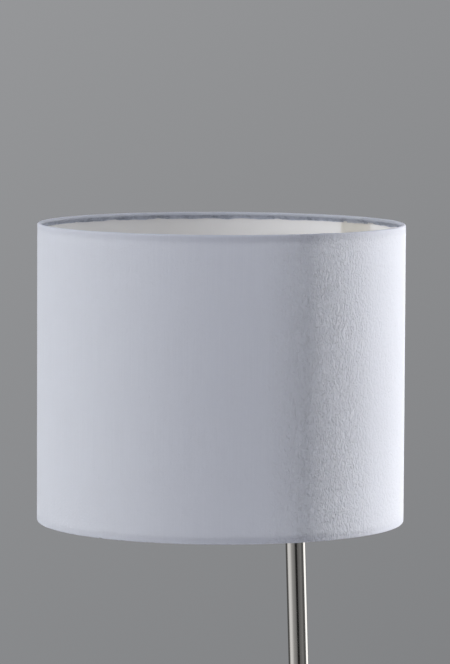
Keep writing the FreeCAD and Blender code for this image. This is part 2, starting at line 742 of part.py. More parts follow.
def make_bulb_screw_cap():
    outer = ribbed(screw_crest_radius - screw_depth, screw_depth, screw_pitch, screw_low, screw_high - screw_pitch)
    wall = 0.4
    root = screw_crest_radius - screw_depth
    outline = [(9.0, cap_low), (root, screw_low)] + outer[1:] + [
        (root, housing_low), (root - wall, housing_low), (root - wall, screw_low + 0.2), (9.0 - wall, cap_low + 0.4)]
    return on_head(revolved(outline))


def make_bulb_insulator():
    outline = [(2.2, bulb_tip + 0.9), (5.5, bulb_tip + 0.9), (8.5, cap_low + 0.2), (8.5, cap_low + 1.6), (2.2, cap_low + 1.6)]
    return on_head(revolved(outline))


def make_bulb_tip():
    pip = cylinder(2.0, bulb_tip + 0.6, cap_low + 3).fuse(Part.makeCone(1.4, 3.6, 0.8, Vector(0, 0, bulb_tip)))
    return on_head(pip)


def make_bulb_housing():
    """The bulb's white neck, which widens from the screw cap to the seam of the globe."""
    neck = bulb_neck_diameter / 2
    shoulder = screw_crest_radius - screw_depth + 0.1
    outline = [(shoulder, housing_low), (neck, housing_low), (neck, housing_low + 5), (neck + 2.5, housing_low + 12),
               (globe_radius - 5, globe_seam - 12), (globe_radius - 1.2, globe_seam - 3),
               (globe_radius - 0.6, globe_seam), (globe_radius - 2.4, globe_seam),
               (globe_radius - 3.2, globe_seam - 3), (globe_radius - 6.6, globe_seam - 12),
               (neck + 0.9, housing_low + 12), (housing_bore, housing_low + 6), (housing_bore, housing_low + 0.4),
               (shoulder, housing_low + 0.4)]
    return on_head(revolved(outline))


def make_bulb_globe():
    """The opal dome: half an ellipsoid over a short straight wall."""
    rise = bulb_top - globe_seam

    def dome(radius, height):
        ball = Part.makeSphere(radius)
        stretch = Matrix()
        stretch.scale(1, 1, height / radius)
        half_ball = ball.transformGeometry(stretch).common(cylinder(radius + 1, 0, height + 1))
        half_ball.translate(Vector(0, 0, globe_seam + flat_gap))
        return half_ball

    return on_head(dome(globe_radius, rise - flat_gap).cut(dome(globe_radius - bulb_wall, rise - flat_gap - bulb_wall)))


def make_led_board():
    level = globe_seam - 2.0
    board = cylinder(globe_radius - 3.8, level - 1.6, level)
    chips = []
    for i in range(led_count):
        turn = 2 * math.pi * i / led_count
        chip = Part.makeBox(3, 3, 0.7, Vector(-1.5, 14.0, level + 0.02))
        chip.rotate(Vector(), UP, math.degrees(turn))
        chips.append(on_head(chip))
    return on_head(board), chips


def make_driver_board():
    half = housing_bore - 0.3
    board = Part.makeBox(2 * half, 1.6, 22, Vector(-half, -0.8, housing_low + 1))
    drum = cylinder_along(UP, 3.5, housing_low + 8, housing_low + 20, Vector(0, 4.4, 0))
    coil = Part.makeBox(8, 6, 8, Vector(-4, -6.9, housing_low + 9))
    return on_head(board.fuse(drum).fuse(coil).removeSplitter())


# ---------------------------------------------------------------- shade
wire_radius = ring_wire_diameter / 2
fabric_inner = shade_radius - fabric_thickness
wire_at = fabric_inner - glue_gap - wire_radius
wire_level = fabric_thickness + glue_gap + wire_radius
liner_outer = fabric_inner - glue_gap
liner_inner = liner_outer - liner_thickness
spoke_radius = spoke_wire_diameter / 2
fitter_z = pivot_z + fitter_level
spoke_top_z = fitter_z + fitter_thickness / 2


def on_shade(shape):
    return placed(shape, Placement(Vector(0, 0, shade_bottom_z), Rotation()))


def torus(level):
    return Part.makeTorus(wire_at, wire_radius, Vector(0, 0, level))


def make_liner():
    """The stiff white lining, rolled to a drum, with its wide lap glued inside near the stem."""
    low = wire_level + wire_radius + 0.15
    high = shade_height - low
    drum = tube(liner_outer, liner_inner, low, high)
    sweep = math.degrees(seam_lap_width / liner_inner)
    lap = tube(liner_inner + 0.2, liner_inner - liner_thickness, hem_width + 2, shade_height - hem_width - 2)
    wedge = Part.makeCylinder(shade_radius + 5, shade_height, Vector(), UP, sweep)
    wedge.rotate(Vector(), UP, seam_lap_end_deg - sweep)
    return on_shade(drum.fuse(lap.common(wedge)).removeSplitter())


def cloth_line(outward):
    """One face of the cloth in section, outward from the wires: wall, over each wire, and down the lining."""
    radius = wire_radius + glue_gap + outward
    inside = liner_inner - glue_gap - outward
    edges, starts, ends = [], [], []
    for sign, level in ((1, shade_height - wire_level), (-1, wire_level)):
        def at(deg):
            a = math.radians(deg)
            return Vector(wire_at + math.cos(a) * radius, 0, level + sign * math.sin(a) * radius)

        knee = Vector(inside, 0, level - sign * 5.5)
        hem_end = Vector(inside, 0, shade_height / 2 + sign * (shade_height / 2 - hem_width))
        edges += [Part.Arc(at(0), at(115), at(230)).toShape(), Part.LineSegment(at(230), knee).toShape(),
                  Part.LineSegment(knee, hem_end).toShape()]
        starts.append(at(0))
        ends.append(hem_end)
    return edges + [Part.LineSegment(*starts).toShape()], ends


def make_fabric():
    """The cloth cover, turned over both wire rings and glued down inside as a hem."""
    near, near_ends = cloth_line(0)
    far, far_ends = cloth_line(fabric_thickness)
    caps = [Part.LineSegment(a, b).toShape() for a, b in zip(near_ends, far_ends)]
    outline = Part.Wire(Part.__sortEdges__(near + far + caps))
    cloth = Part.Face(outline).revolve(Vector(), UP, 360)
    for angle in spoke_angles():
        notch = cylinder_along(AXIS_X, spoke_radius + 0.4, shade_radius - 40, wire_at)
        lean_to_ring = Placement(Vector(wire_at, 0, wire_level), Rotation(AXIS_Y, spoke_slope_deg()))
        notch = placed(notch, lean_to_ring.multiply(Placement(Vector(-wire_at, 0, 0), Rotation())))
        notch.rotate(Vector(), UP, angle)
        cloth = cloth.cut(notch)
    return on_shade(cloth)


def spoke_angles():
    """The spokes stand clear of the stem, which is at 90 degrees."""
    return [90 + 360 / spoke_count * (i + 0.5) for i in range(spoke_count)]


def spoke_slope_deg():
    rise = spoke_top_z - shade_bottom_z - wire_level
    return math.degrees(math.atan2(rise, spoke_crank_run))


def make_spokes():
    """Three cranked wires from the bottom ring up to the fitter ring."""
    slope = math.radians(spoke_slope_deg())
    start_r = wire_at - (wire_radius + glue_gap) * math.cos(slope)
    start = Vector(start_r, 0, shade_bottom_z + wire_level + (wire_radius + glue_gap) * math.sin(slope))
    corner = Vector(wire_at - spoke_crank_run, 0, spoke_top_z)
    inner = Vector(fitter_radius + glue_gap, 0, spoke_top_z)
    back = (start - corner).normalize()
    on = (inner - corner).normalize()
    cut = spoke_bend_radius * math.tan((math.pi - back.getAngle(on)) / 2)
    first, last = corner + back * cut, corner + on * cut
    bisector = (back + on).normalize()
    centre = corner + bisector * (spoke_bend_radius / math.sin(back.getAngle(on) / 2))
    middle = centre - bisector * spoke_bend_radius
    path = Part.Wire([Part.LineSegment(start, first).toShape(), Part.Arc(first, middle, last).toShape(),
                      Part.LineSegment(last, inner).toShape()])
    section = Part.Wire(Part.makeCircle(spoke_radius, start, first - start))
    spoke = path.makePipeShell([section], True, True)
    spokes = []
    for angle in spoke_angles():
        turned = spoke.copy()
        turned.rotate(Vector(), UP, angle)
        spokes.append(turned)
    return spokes


def make_fitter_ring():
    return on_head(tube(fitter_radius, fitter_bore / 2, fitter_level, fitter_level + fitter_thickness))


# ---------------------------------------------------------------- build
def main():
    os.makedirs("parts", exist_ok=True)
    save("hub", make_hub())
    save("hub_set_screws", *make_set_screws())
    save("rear_leg_tube", make_rear_leg())
    save("rear_foot", make_rear_foot())
    save("cord_inlet_grommet", make_cord_inlet())
    save("stem_tube", make_stem())

    bolt, nut, washers = make_hinge_bolt(), make_hinge_nut(), make_hinge_washers()
    save("hinge_bolts", bolt, mirrored(bolt))
    save("hinge_cap_nuts", nut, mirrored(nut))
    save("hinge_friction_washers", *washers, *[mirrored(w) for w in washers])
    for make, name in ((make_leg_tube, "tube"), (make_leg_knuckle, "knuckle"), (make_leg_foot, "foot")):
        shape = make()
        save("right_leg_" + name, shape)
        save("left_leg_" + name, mirrored(shape))

    save("swivel_journal", make_swivel_journal())
    save("swivel_friction_washer", make_swivel_washer())
    save("swivel_wave_washer", make_wave_washer())
    save("swivel_nut", make_swivel_nut())
    save("swivel_barrel", make_swivel_barrel())
    save("swivel_stop_screw", make_stop_screw())
    save("swivel_cap", make_swivel_cap())
    save("arm_tube", make_arm_tube())
    save("arm_tongue", make_arm_tongue())

    save("head_fork", make_head_fork())
    save("tilt_friction_washers", *make_tilt_washers())
    save("tilt_bolt", make_tilt_bolt())
    save("tilt_knob", make_tilt_knob())

    save("lampholder_cap", make_holder_cap())
    save("lampholder_nipple_nut", make_nipple_nut())
    save("lampholder_body", make_holder_body())
    save("lampholder_insert", make_holder_insert())
    save("lampholder_screw_shell", make_screw_shell())
    centre, side = make_contacts()
    save("centre_contact", centre)
    save("side_contact", side)
    blocks, screws = make_terminals()
    save("terminal_blocks", *blocks)
    save("terminal_screws", *screws)
    save("lower_shade_ring", make_shade_ring(fitter_level - flat_gap - shade_ring_thickness, False))
    save("upper_shade_ring", make_shade_ring(fitter_level + fitter_thickness + flat_gap, True))
    save("switch_block", make_switch_block())
    save("switch_bushing", make_switch_bushing())
    save("switch_knob", make_switch_knob())

    save("bulb_screw_cap", make_bulb_screw_cap())
    save("bulb_insulator", make_bulb_insulator())
    save("bulb_tip_contact", make_bulb_tip())
    save("bulb_housing", make_bulb_housing())
    save("bulb_globe", make_bulb_globe())
    board, chips = make_led_board()
    save("led_board", board)
    save("led_chips", *chips)
    save("bulb_driver_board", make_driver_board())

    save("shade_liner", make_liner())
    save("shade_fabric", make_fabric())
    save("shade_top_ring", on_shade(torus(shade_height - wire_level)))
    save("shade_bottom_ring", on_shade(torus(wire_level)))
    save("shade_spokes", *make_spokes())
    save("shade_fitter_ring", make_fitter_ring())


main()
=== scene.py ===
import json
import math
import random
import bmesh
import bpy
from mathutils import Matrix, Vector, noise


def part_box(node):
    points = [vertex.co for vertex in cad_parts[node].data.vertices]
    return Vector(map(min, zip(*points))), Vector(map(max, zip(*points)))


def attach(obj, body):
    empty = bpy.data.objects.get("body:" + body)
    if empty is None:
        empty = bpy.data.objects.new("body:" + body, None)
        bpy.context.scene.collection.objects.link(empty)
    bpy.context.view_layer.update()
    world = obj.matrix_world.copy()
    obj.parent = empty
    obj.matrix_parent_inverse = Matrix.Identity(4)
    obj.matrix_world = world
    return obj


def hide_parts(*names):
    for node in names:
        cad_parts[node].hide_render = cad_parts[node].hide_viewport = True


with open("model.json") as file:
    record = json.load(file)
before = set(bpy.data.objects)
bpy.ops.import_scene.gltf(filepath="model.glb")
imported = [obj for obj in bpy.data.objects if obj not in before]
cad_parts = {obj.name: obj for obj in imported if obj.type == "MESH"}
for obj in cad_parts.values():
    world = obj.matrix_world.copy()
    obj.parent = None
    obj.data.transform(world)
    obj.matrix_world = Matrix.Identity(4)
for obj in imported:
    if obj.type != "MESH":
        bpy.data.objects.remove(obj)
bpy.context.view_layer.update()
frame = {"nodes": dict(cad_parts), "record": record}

mm = 0.001
waveTurn = 0.314  # a band texture of this scale repeats once a metre
sameSpot = 1e-6  # corners nearer than this are one

# The lamp's own measures, worked out from the frame
shadeLow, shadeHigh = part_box("shade_fabric")
shadeRadius = (shadeHigh.x - shadeLow.x) / 2
shadeHeight = shadeHigh.z - shadeLow.z
shadeMiddle = Vector((0, 0, (shadeLow.z + shadeHigh.z) / 2))
stemLow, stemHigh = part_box("stem_tube")
tubeRadius = (stemHigh.x - stemLow.x) / 2
joints = {joint["name"]: joint for joint in frame["record"]["behaviour"]["joints"]}
stemAxis = Vector(joints["arm_swivel"]["axis"]).normalized()


def deselectAll():
    if bpy.context.object and bpy.context.object.mode != "OBJECT":
        bpy.ops.object.mode_set(mode="OBJECT")
    bpy.ops.object.select_all(action="DESELECT")


def makeActive(piece):
    deselectAll()
    piece.select_set(True)
    bpy.context.view_layer.objects.active = piece


def applyModifier(piece, kind, **settings):
    makeActive(piece)
    modifier = piece.modifiers.new(kind.title(), kind)
    for name, value in settings.items():
        setattr(modifier, name, value)
    bpy.ops.object.modifier_apply(modifier=modifier.name)


def settle(piece):
    # leaves the place in the mesh and the object at the origin
    makeActive(piece)
    bpy.ops.object.transform_apply(location=True, rotation=True, scale=True)


def newMaterial(name):
    material = bpy.data.materials.new(name)
    material.use_nodes = True
    tree = material.node_tree
    return material, tree, tree.nodes["Principled BSDF"]


def mathNode(tree, operation, first, second=None):
    node = tree.nodes.new("ShaderNodeMath")
    node.operation = operation
    for socket, value in zip(node.inputs, (first, second)):
        if hasattr(value, "is_output"):
            tree.links.new(value, socket)
        elif value is not None:
            socket.default_value = value
    return node.outputs[0]


def objectCoords(tree, scale=(1, 1, 1), rotation=(0, 0, 0)):
    coords = tree.nodes.new("ShaderNodeTexCoord")
    mapping = tree.nodes.new("ShaderNodeMapping")
    mapping.inputs["Scale"].default_value = scale
    mapping.inputs["Rotation"].default_value = rotation
    tree.links.new(coords.outputs["Object"], mapping.inputs["Vector"])
    return mapping.outputs["Vector"]


def noiseNode(tree, vector, size, detail=2.0, roughness=0.5, distortion=0.0):
    # size is the width of one blotch in metres
    node = tree.nodes.new("ShaderNodeTexNoise")
    node.inputs["Scale"].default_value = 1 / size
    node.inputs["Detail"].default_value = detail
    node.inputs["Roughness"].default_value = roughness
    node.inputs["Distortion"].default_value = distortion
    tree.links.new(vector, node.inputs["Vector"])
    return node.outputs["Fac"]


def rangeNode(tree, value, low, high, fromLow=0.3, fromHigh=0.7):
    node = tree.nodes.new("ShaderNodeMapRange")
    for name, number in (("From Min", fromLow), ("From Max", fromHigh), ("To Min", low), ("To Max", high)):
        node.inputs[name].default_value = number
    tree.links.new(value, node.inputs["Value"])
    return node.outputs["Result"]


def mixColour(tree, factor, first, second):
    node = tree.nodes.new("ShaderNodeMix")
    node.data_type = "RGBA"
    tree.links.new(factor, node.inputs["Factor"])
    for socket, value in ((node.inputs[6], first), (node.inputs[7], second)):
        if hasattr(value, "is_output"):
            tree.links.new(value, socket)
        else:
            socket.default_value = (*value, 1)
    return node.outputs[2]


def bumpNode(tree, height, depth, under=None):
    node = tree.nodes.new("ShaderNodeBump")
    node.inputs["Distance"].default_value = depth
    node.inputs["Strength"].default_value = 1.0
    tree.links.new(height, node.inputs["Height"])
    if under:
        tree.links.new(under, node.inputs["Normal"])
    return node.outputs["Normal"]


nickelFinish = {
    "colour": (0.80, 0.785, 0.76), "warmPatch": (0.83, 0.80, 0.76), "roughness": (0.07, 0.13),
    "drawLineWidth": 0.35 * mm, "drawLineDepth": 0.004 * mm, "drawLineStretch": 0.01,
    "smudgeSize": 26 * mm,
}


def makeNickel(name, axis):
    # drawn lines run along the tube, and faint smudges dull the plate here and there
    finish = nickelFinish
    material, tree, shader = newMaterial(name)
    turn = axis.rotation_difference(Vector((0, 0, 1))).to_euler()
    lines = objectCoords(tree, scale=(1, 1, finish["drawLineStretch"]), rotation=turn)
    smudge = noiseNode(tree, objectCoords(tree), finish["smudgeSize"], detail=4, roughness=0.6)
    fine = noiseNode(tree, lines, finish["drawLineWidth"], detail=1)
    shader.inputs["Metallic"].default_value = 1.0
    plate = mixColour(tree, smudge, finish["colour"], finish["warmPatch"])
    tree.links.new(plate, shader.inputs["Base Color"])
    tree.links.new(rangeNode(tree, smudge, *finish["roughness"]), shader.inputs["Roughness"])
    tree.links.new(bumpNode(tree, fine, finish["drawLineDepth"]), shader.inputs["Normal"])
    return material


# Every plain moulded, plated or painted finish, and the nodes that wear it
mouldedFinishes = {
    "zincPlate": {
        "colour": (0.60, 0.61, 0.63), "worn": (0.66, 0.65, 0.60), "roughness": (0.28, 0.42),
        "grain": 0.8 * mm, "grainDepth": 0.01 * mm, "metallic": 1.0,
        "nodes": ("hub_set_screws", "swivel_wave_washer", "swivel_nut", "swivel_stop_screw",
                  "lampholder_nipple_nut", "terminal_screws")},
    "nylonWasher": {
        "colour": (0.80, 0.78, 0.72), "worn": (0.74, 0.72, 0.66), "roughness": (0.42, 0.55),
        "grain": 0.6 * mm, "grainDepth": 0.01 * mm,
        "nodes": ("hinge_friction_washers", "swivel_friction_washer", "tilt_friction_washers")},
    "powderCoat": {
        "colour": (0.82, 0.82, 0.82), "worn": (0.77, 0.77, 0.76), "roughness": (0.35, 0.5),
        "grain": 0.9 * mm, "grainDepth": 0.02 * mm,
        "nodes": ("shade_top_ring", "shade_bottom_ring", "shade_spokes", "shade_fitter_ring")},
    "blackPhenolic": {
        "colour": (0.02, 0.02, 0.022), "worn": (0.035, 0.034, 0.033), "roughness": (0.3, 0.45),
        "grain": 0.5 * mm, "grainDepth": 0.012 * mm,
        "nodes": ("lower_shade_ring", "upper_shade_ring", "switch_knob", "switch_block")},
    "steatite": {
        "colour": (0.80, 0.78, 0.73), "worn": (0.74, 0.72, 0.67), "roughness": (0.2, 0.35),
        "grain": 1.5 * mm, "grainDepth": 0.01 * mm, "coat": 0.4,
        "nodes": ("lampholder_insert",)},
    "contactBrass": {
        "colour": (0.70, 0.52, 0.24), "worn": (0.58, 0.40, 0.18), "roughness": (0.22, 0.4),
        "grain": 0.6 * mm, "grainDepth": 0.01 * mm, "metallic": 1.0,
        "nodes": ("centre_contact", "side_contact", "terminal_blocks", "lampholder_screw_shell")},
    "bulbPlastic": {
        "colour": (0.84, 0.84, 0.82), "worn": (0.80, 0.80, 0.78), "roughness": (0.25, 0.36),
        "grain": 0.8 * mm, "grainDepth": 0.008 * mm,
        "nodes": ("bulb_housing",)},
    "capPlate": {
        "colour": (0.72, 0.71, 0.68), "worn": (0.64, 0.62, 0.58), "roughness": (0.2, 0.38),
        "grain": 0.8 * mm, "grainDepth": 0.01 * mm, "metallic": 1.0,
        "nodes": ("bulb_screw_cap", "bulb_tip_contact")},
    "blackVitrite": {
        "colour": (0.012, 0.012, 0.014), "worn": (0.03, 0.03, 0.034), "roughness": (0.08, 0.2),
        "grain": 1.2 * mm, "grainDepth": 0.02 * mm, "coat": 0.5,
        "nodes": ("bulb_insulator",)},
    "solderMask": {
        "colour": (0.78, 0.80, 0.76), "worn": (0.70, 0.73, 0.70), "roughness": (0.3, 0.42),
        "grain": 0.6 * mm, "grainDepth": 0.01 * mm,
        "nodes": ("led_board", "bulb_driver_board")},
    "phosphor": {
        "colour": (0.85, 0.70, 0.18), "worn": (0.80, 0.62, 0.12), "roughness": (0.45, 0.6),
        "grain": 0.4 * mm, "grainDepth": 0.01 * mm,
        "nodes": ("led_chips",)},
}
mouldedBlotch = 14 * mm


def makeMoulded(name):
    # blotchy tone, uneven gloss and a fine grain
    finish = mouldedFinishes[name]
    material, tree, shader = newMaterial(name)
    vector = objectCoords(tree)
    blotch = noiseNode(tree, vector, mouldedBlotch, detail=3)
    shader.inputs["Metallic"].default_value = finish.get("metallic", 0.0)
    shader.inputs["Coat Weight"].default_value = finish.get("coat", 0.0)
    tone = mixColour(tree, blotch, finish["colour"], finish["worn"])
    tree.links.new(tone, shader.inputs["Base Color"])
    tree.links.new(rangeNode(tree, blotch, *finish["roughness"]), shader.inputs["Roughness"])
    fine = noiseNode(tree, vector, finish["grain"])
    tree.links.new(bumpNode(tree, fine, finish["grainDepth"]), shader.inputs["Normal"])
    return material


rubberFinish = {
    "colour": (0.018, 0.018, 0.02), "dust": (0.10, 0.095, 0.09), "roughness": (0.62, 0.82),
    "dustHeight": 22 * mm, "dustSize": 5 * mm, "dustMost": 0.9, "grain": 0.7 * mm,
    "grainDepth": 0.03 * mm,
}


def makeRubber(name):
    # matt black rubber that has picked up dust near the floor
    finish = rubberFinish
    material, tree, shader = newMaterial(name)
    vector = objectCoords(tree)
    split = tree.nodes.new("ShaderNodeSeparateXYZ")
    tree.links.new(vector, split.inputs[0])
    low = rangeNode(tree, split.outputs["Z"], 1.0, 0.0, fromLow=0.0, fromHigh=finish["dustHeight"])
    blotch = noiseNode(tree, vector, finish["dustSize"], detail=4, roughness=0.65)
    dusty = mathNode(tree, "MULTIPLY", low, rangeNode(tree, blotch, 0.0, finish["dustMost"]))
    tree.links.new(mixColour(tree, dusty, finish["colour"], finish["dust"]), shader.inputs["Base Color"])
    tree.links.new(rangeNode(tree, blotch, *finish["roughness"]), shader.inputs["Roughness"])
    grain = noiseNode(tree, vector, finish["grain"], detail=2)
    tree.links.new(bumpNode(tree, grain, finish["grainDepth"]), shader.inputs["Normal"])
    return material


def drumCoords(tree, seamAngle):
    # unrolls the drum: metres along the girth, metres up, with the join at the seam
    vector = objectCoords(tree, rotation=(0, 0, math.pi - seamAngle))
    split = tree.nodes.new("ShaderNodeSeparateXYZ")
    tree.links.new(vector, split.inputs[0])
    angle = mathNode(tree, "ARCTAN2", split.outputs["Y"], split.outputs["X"])
    girth = mathNode(tree, "MULTIPLY", angle, shadeRadius)
    flat = tree.nodes.new("ShaderNodeCombineXYZ")
    tree.links.new(girth, flat.inputs["X"])
    tree.links.new(split.outputs["Z"], flat.inputs["Y"])
    return flat.outputs[0]


def drawnUp(tree, vector, stretch):
    # a pattern on this is drawn out along the drum's height, more so as stretch gets smaller
    mapping = tree.nodes.new("ShaderNodeMapping")
    mapping.inputs["Scale"].default_value = (1, stretch, 1)
    tree.links.new(vector, mapping.inputs["Vector"])
    return mapping.outputs[0]


def seeThrough(tree, shader, colour, amount, normal=None):
    # part of the light goes on through the thin sheet
    glow = tree.nodes.new("ShaderNodeBsdfTranslucent")
    if hasattr(colour, "is_output"):
        tree.links.new(colour, glow.inputs["Color"])
    else:
        glow.inputs["Color"].default_value = (*colour, 1)
    if normal:
        tree.links.new(normal, glow.inputs["Normal"])
    mix = tree.nodes.new("ShaderNodeMixShader")
    mix.inputs["Fac"].default_value = amount
    tree.links.new(shader.outputs[0], mix.inputs[1])
    tree.links.new(glow.outputs[0], mix.inputs[2])
    tree.links.new(mix.outputs[0], tree.nodes["Material Output"].inputs["Surface"])


fabricFinish = {
    "colour": (0.84, 0.866, 0.922), "thread": (0.74, 0.77, 0.835), "roughness": 0.85, "sheen": 0.04,
    "gloss": 0.1, "seeThrough": 0.58,
    "threadPitch": 0.55 * mm, "threadDepth": 0.02 * mm, "threadWander": 0.6,
    "slubSize": 1.4 * mm, "slubStretch": 0.28, "slubDepth": 0.45 * mm,
    "streakSize": 1.1 * mm, "streakStretch": 0.01, "streakDepth": 0.07 * mm,
    "wrinkleSize": 3.0 * mm, "wrinkleStretch": 0.55, "wrinkleDepth": 4.2 * mm, "wrinkleTwist": 1.1,
    "crumpleRise": (math.radians(62), math.radians(80)), "calmShare": 0.08,
    "crumpleFall": (math.radians(87), math.radians(104)), "restShare": 0.3,
    # hem tones are painted shade: the turned-in hem is drawn darker than the cloth, and darker still in
    # blotches along its creases
    "hemShadeTone": (0.72, 0.75, 0.82), "hemCreaseShade": (0.44, 0.47, 0.54), "hemRadius": (223.5 * mm, 224.1 * mm),
    "hemCrease": 5 * mm, "hemCreaseDepth": 0.5 * mm, "hemShadeBlotch": 22 * mm, "hemShadeBlotchMost": 1.4,
    "rollDepth": (3 * mm, 4.5 * mm),
    "gatherReach": (8 * mm, 18 * mm), "gatherSize": 2.6 * mm, "gatherStretch": 0.12,
    "gatherDepth": 0.9 * mm, "gatherShare": 0.3,
}


def makeFabric(name, seamAngle):
    # plain-woven cotton: crossing threads, slubs along the warp, and a light crumple
    finish = fabricFinish
    material, tree, shader = newMaterial(name)
    flat = drumCoords(tree, seamAngle)
    waves = []
    for direction in ("X", "Y"):
        wave = tree.nodes.new("ShaderNodeTexWave")
        wave.wave_type, wave.bands_direction = "BANDS", direction
        wave.inputs["Scale"].default_value = waveTurn / finish["threadPitch"]
        wave.inputs["Distortion"].default_value = finish["threadWander"]
        wave.inputs["Detail"].default_value = 1.0
        tree.links.new(flat, wave.inputs["Vector"])
        waves.append(wave.outputs["Fac"])
    weave = mathNode(tree, "MULTIPLY", *waves)
    slub = noiseNode(tree, drawnUp(tree, flat, finish["slubStretch"]), finish["slubSize"], 3, 0.6)
    streak = noiseNode(tree, drawnUp(tree, flat, finish["streakStretch"]), finish["streakSize"])
    wrinkle = noiseNode(tree, drawnUp(tree, flat, finish["wrinkleStretch"]), finish["wrinkleSize"],
                        distortion=finish["wrinkleTwist"])
    # the cloth is crumpled most in a band on the way round to the seam
    split = tree.nodes.new("ShaderNodeSeparateXYZ")
    tree.links.new(flat, split.inputs[0])
    turn = mathNode(tree, "DIVIDE", split.outputs["X"], shadeRadius)
    rise = rangeNode(tree, turn, finish["calmShare"], 1.0, *finish["crumpleRise"])
    fall = rangeNode(tree, turn, 1.0, finish["restShare"], *finish["crumpleFall"])
    crumpled = mathNode(tree, "MULTIPLY", rise, fall)
    wrinkle = mathNode(tree, "MULTIPLY", wrinkle, crumpled)
    slub = mathNode(tree, "MULTIPLY", slub, crumpled)
    tone = mathNode(tree, "MULTIPLY", mathNode(tree, "ADD", weave, streak), 0.5)
    cloth = mixColour(tree, tone, finish["colour"], finish["thread"])
    # the turned-in hem, stiff with glue, gets painted shade: a darker tone, and darker blotches along its
    # creases, which are also bumped
    distance = tree.nodes.new("ShaderNodeVectorMath")
    distance.operation = "LENGTH"
    tree.links.new(objectCoords(tree, scale=(1, 1, 0)), distance.inputs[0])
    hem = rangeNode(tree, distance.outputs["Value"], 1.0, 0.0, *finish["hemRadius"])
    level = mathNode(tree, "ABSOLUTE", mathNode(tree, "SUBTRACT", split.outputs["Y"], shadeMiddle.z))
    depth = mathNode(tree, "SUBTRACT", shadeHeight / 2, level)
    hem = mathNode(tree, "MULTIPLY", hem, rangeNode(tree, depth, 0.0, 1.0, *finish["rollDepth"]))
    crease = noiseNode(tree, flat, finish["hemCrease"], detail=4, roughness=0.65, distortion=0.5)
    blotch = noiseNode(tree, flat, finish["hemShadeBlotch"])
    shadeBlotched = rangeNode(tree, blotch, 0.0, finish["hemShadeBlotchMost"])
    paintedHemShade = mathNode(tree, "MULTIPLY", rangeNode(tree, crease, 0.0, 1.0), shadeBlotched)
    shadedHemCloth = mixColour(tree, paintedHemShade, finish["hemShadeTone"], finish["hemCreaseShade"])
    cloth = mixColour(tree, hem, cloth, shadedHemCloth)
    tree.links.new(cloth, shader.inputs["Base Color"])
    creased = mathNode(tree, "MULTIPLY", crease, hem)
    # short gathers run down from the wire
    gather = noiseNode(tree, drawnUp(tree, flat, finish["gatherStretch"]), finish["gatherSize"], 1)
    gather = mathNode(tree, "MULTIPLY", gather, rangeNode(tree, depth, 1.0, 0.0, *finish["gatherReach"]))
    share = mathNode(tree, "MAXIMUM", crumpled, finish["gatherShare"])
    gather = mathNode(tree, "MULTIPLY", gather, share)
    shader.inputs["Roughness"].default_value = finish["roughness"]
    shader.inputs["Sheen Weight"].default_value = finish["sheen"]
    shader.inputs["Specular IOR Level"].default_value = finish["gloss"]
    normal = bumpNode(tree, wrinkle, finish["wrinkleDepth"])
    for height, depthKey in ((creased, "hemCreaseDepth"), (gather, "gatherDepth"), (slub, "slubDepth"),
                             (streak, "streakDepth"), (weave, "threadDepth")):
        normal = bumpNode(tree, height, finish[depthKey], normal)
    tree.links.new(normal, shader.inputs["Normal"])
    seeThrough(tree, shader, cloth, finish["seeThrough"], normal)
    return material


linerFinish = {
    "colour": (0.96, 0.95, 0.92), "cloudy": (0.93, 0.92, 0.89), "cloudSize": 30 * mm, "roughness": 0.42,
    # the lap tone is painted shade: darker where the sheet doubles
    "seeThrough": 0.7, "glued": (0.80, 0.785, 0.74), "lapShadeSize": 12 * mm, "lapShadeLeast": 0.6,
    "lapHalf": math.radians(7.2), "lapEdge": 1.5 * mm,
    "waveSize": 9 * mm, "waveStretch": 0.3, "waveDepth": 0.05 * mm,
}


def makeLiner(name, seamAngle):
    # rolled styrene: nearly white, faintly cloudy, smooth but not flat
    finish = linerFinish
    material, tree, shader = newMaterial(name)
    flat = drumCoords(tree, seamAngle)
    cloud = noiseNode(tree, flat, finish["cloudSize"], detail=3)
    sheet = mixColour(tree, cloud, finish["colour"], finish["cloudy"])
    # where the sheet's ends lap, patches are painted a little darker: painted shade for the double layer,
    # which lets less light through
    split = tree.nodes.new("ShaderNodeSeparateXYZ")
    tree.links.new(flat, split.inputs[0])
    lapFrom = (math.pi - finish["lapHalf"]) * shadeRadius
    around = mathNode(tree, "ABSOLUTE", split.outputs["X"])
    lap = rangeNode(tree, around, 0.0, 1.0, lapFrom, lapFrom + finish["lapEdge"])
    patchy = rangeNode(tree, noiseNode(tree, flat, finish["lapShadeSize"]), finish["lapShadeLeast"], 1.0)
    glued = mathNode(tree, "MULTIPLY", lap, patchy)
    tree.links.new(mixColour(tree, glued, sheet, finish["glued"]), shader.inputs["Base Color"])
    shader.inputs["Roughness"].default_value = finish["roughness"]
    ripple = noiseNode(tree, drawnUp(tree, flat, finish["waveStretch"]), finish["waveSize"], detail=1)
    tree.links.new(bumpNode(tree, ripple, finish["waveDepth"]), shader.inputs["Normal"])
    seeThrough(tree, shader, finish["colour"], finish["seeThrough"])
    return material


opalFinish = {
    "colour": (0.9, 0.9, 0.88), "cloudy": (0.86, 0.86, 0.85), "cloudSize": 18 * mm,
    "roughness": (0.22, 0.3), "coat": 0.2, "glow": (0.92, 0.92, 0.9), "seeThrough": 0.45,
}


def makeOpal(name):
    # an opal dome: milky all through, with a smooth skin
    finish = opalFinish
    material, tree, shader = newMaterial(name)
    cloud = noiseNode(tree, objectCoords(tree), finish["cloudSize"])
    milk = mixColour(tree, cloud, finish["colour"], finish["cloudy"])
    tree.links.new(milk, shader.inputs["Base Color"])
    tree.links.new(rangeNode(tree, cloud, *finish["roughness"]), shader.inputs["Roughness"])
    shader.inputs["Coat Weight"].default_value = finish["coat"]
    seeThrough(tree, shader, finish["glow"], finish["seeThrough"])
    return material


